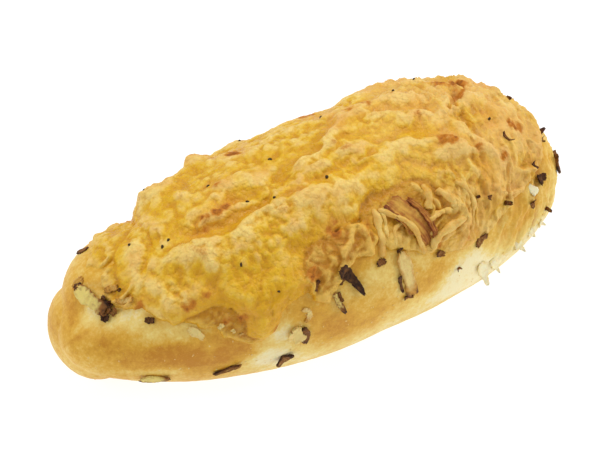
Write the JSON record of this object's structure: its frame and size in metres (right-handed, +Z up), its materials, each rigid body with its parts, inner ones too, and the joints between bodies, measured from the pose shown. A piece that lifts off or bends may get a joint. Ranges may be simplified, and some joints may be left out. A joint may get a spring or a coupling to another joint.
{
  "type": "demi baguette",
  "caption": "Plump demi baguette roll baked under a lumpy sheet of melted cheese, with charred shreds of onion and leek; rests on its flat base.",
  "frame": {"origin": "centre of the flat base that the loaf rests on", "axes": "+X along the loaf towards its blunt end, +Y across it, +Z up"},
  "size_m": [0.2053, 0.0917, 0.0681],
  "materials": {
    "crust": "satin baked bread crust, golden to pale cream",
    "cheese": "satin melted cheese with browned ridges",
    "leek": "dry charred leek",
    "onion": "glossy browned onion"
  },
  "bodies": {
    "root": {"loaf": "crust", "cheese": "cheese", "leek_end": "leek", "leek_base_left": "leek", "leek_base_mid": "leek", "leek_base_curl": "leek", "onion_chunk": "onion", "leek_fork": "leek", "leek_stalk": "leek", "onion_strip": "onion", "leek_far_end": "leek", "onion_far_left": "onion", "leek_far_mid": "leek", "onion_far_right": "onion"}
  },
  "joints": []
}
